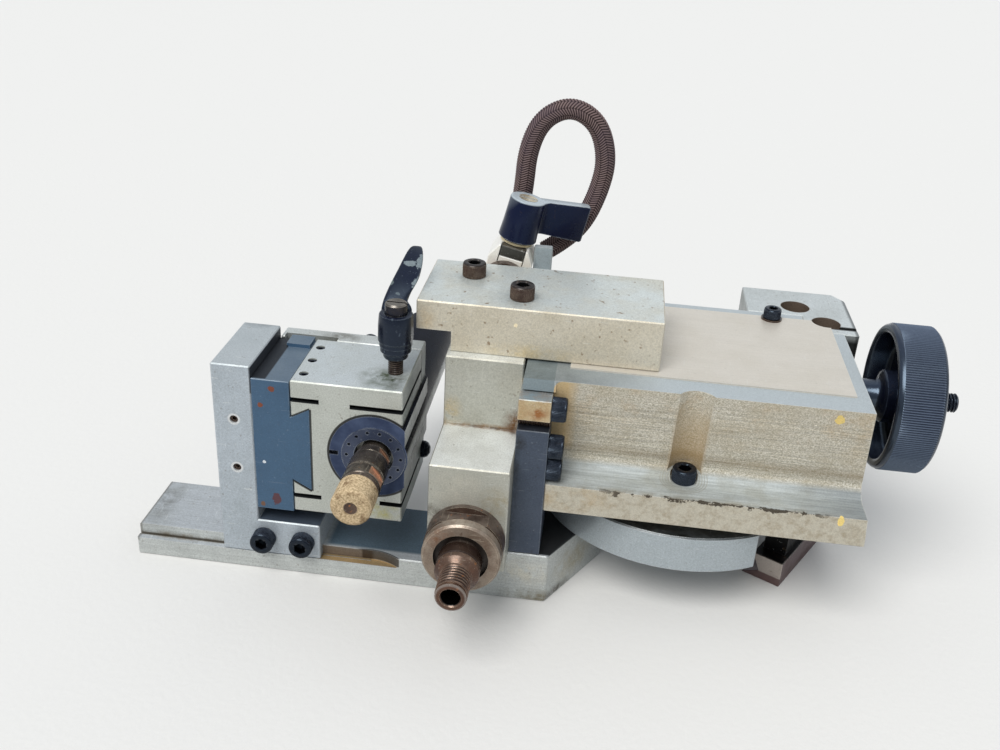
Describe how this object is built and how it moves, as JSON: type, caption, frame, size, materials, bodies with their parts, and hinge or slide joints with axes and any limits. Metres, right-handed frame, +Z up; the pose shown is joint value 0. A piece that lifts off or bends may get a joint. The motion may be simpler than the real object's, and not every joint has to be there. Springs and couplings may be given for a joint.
{
  "type": "valve seat grinder",
  "caption": "Air driven bench grinder: a stone spindle on a dovetail slide faces a swivelling screw-fed workhead arm with a clamp lever, handwheel and hose.",
  "frame": {"origin": "middle of the footprint, on the bench", "axes": "+X along the base bar towards the handwheel, +Y away from the grinding stone, +Z up"},
  "size_m": [0.447, 0.237, 0.2487],
  "materials": {
    "ground_steel": "satin, worn",
    "cast_housing": "blasted and machined",
    "blued_steel": "blued",
    "black_screws": "black oxide",
    "black_lever": "satin, chipped",
    "rusty_steel": "dark, rusted",
    "bronze": "machined",
    "plate": "satin",
    "stone": "bonded abrasive",
    "hose": "braided cover",
    "bright_screw": "bright",
    "nickel": "nickel plated"
  },
  "bodies": {
    "base": {"base_bar": "ground_steel", "swivel_disc": "ground_steel", "pivot_pin": "ground_steel", "foot_bar": "rusty_steel", "foot_riser": "rusty_steel", "underside_screws": "black_screws"},
    "housing": {"housing_casting": "cast_housing", "label_plate": "plate", "label_washer": "bright_screw", "label_screw": "black_screws", "rear_clamp_block": "ground_steel", "rear_bolts": "black_screws", "flange_screw": "black_screws", "feed_bush": "bronze"},
    "feed": {"arm": "ground_steel", "top_bar": "ground_steel", "top_bar_screws": "rusty_steel", "guide_strip": "blued_steel", "side_block": "ground_steel", "side_screws": "black_screws", "stop_stud": "black_screws", "feed_nut": "bronze", "guide_rods": "ground_steel", "nose_bearings": "bright_screw", "valve_body": "nickel", "valve_nipple": "rusty_steel", "valve_elbow": "nickel", "hose_block": "ground_steel", "hose_elbow": "nickel", "air_hose": "hose"},
    "workhead": {"nose_spindle": "rusty_steel", "nose_nut": "ground_steel", "nose_flange": "rusty_steel", "threaded_nipple": "rusty_steel"},
    "feed_wheel": {"handwheel": "black_lever", "feed_screw": "black_screws"},
    "carriage": {"angle_bracket": "ground_steel", "bracket_screws": "black_screws", "bracket_set_screws": "rusty_steel", "rail_clamp": "ground_steel", "dovetail_slide": "blued_steel", "slide_screws": "black_screws"},
    "head": {"spindle_block": "ground_steel", "gib_screws": "black_screws", "rear_plate": "blued_steel", "plate_screws": "black_screws", "dome_screw": "black_screws", "motor_sleeve": "blued_steel", "pin_nut": "blued_steel", "spindle_bearings": "bright_screw"},
    "spindle": {"spindle_shaft": "rusty_steel", "collet_nut": "rusty_steel", "stone_arbor": "rusty_steel", "grinding_stone": "stone"},
    "lever": {"lever_stud": "black_screws", "lever_handle": "black_lever", "lever_screw": "bright_screw"},
    "valve_handle": {"valve_stem": "ground_steel", "valve_lever": "black_lever", "valve_lever_screw": "bright_screw"}
  },
  "joints": [
    {"name": "carriage_slide", "type": "slide", "parent": "base", "child": "carriage", "axis": [-1, 0, 0], "range_m": [0, 0.045]},
    {"name": "head_slide", "type": "slide", "parent": "carriage", "child": "head", "axis": [0, -1, 0], "range_m": [-0.025, 0]},
    {"name": "spindle_spin", "type": "hinge", "parent": "head", "child": "spindle", "pos_m": [-0.08585, -0.04947, 0.0821], "axis": [0, 1, 0], "continuous": true},
    {"name": "lever_turn", "type": "hinge", "parent": "head", "child": "lever", "pos_m": [-0.07905, -0.02757, 0.131], "axis": [0, 0, 1], "range_deg": [0, 80]},
    {"name": "housing_swivel", "type": "hinge", "parent": "base", "child": "housing", "pos_m": [0.08005, 0.03423, 0.0526], "axis": [0, 0, 1], "range_deg": [0, 30]},
    {"name": "feed_slide", "type": "slide", "parent": "housing", "child": "feed", "axis": [-1, 0, 0], "range_m": [0, 0.004]},
    {"name": "handwheel_turn", "type": "hinge", "parent": "housing", "child": "feed_wheel", "pos_m": [0.17655, 0.02053, 0.114], "axis": [1, 0, 0], "range_deg": [0, 1440]},
    {"name": "workhead_spin", "type": "hinge", "parent": "feed", "child": "workhead", "pos_m": [-0.0323, -0.06847, 0.051], "axis": [0, 1, 0], "continuous": true},
    {"name": "valve_turn", "type": "hinge", "parent": "feed", "child": "valve_handle", "pos_m": [-0.03215, 0.06253, 0.1474], "axis": [-0.2079, 0, -0.9781], "range_deg": [0, 90]}
  ],
  "couplings": [
    {"joint": "handwheel_turn", "follows": "feed_slide", "rad_per_m": 6283.2}
  ]
}
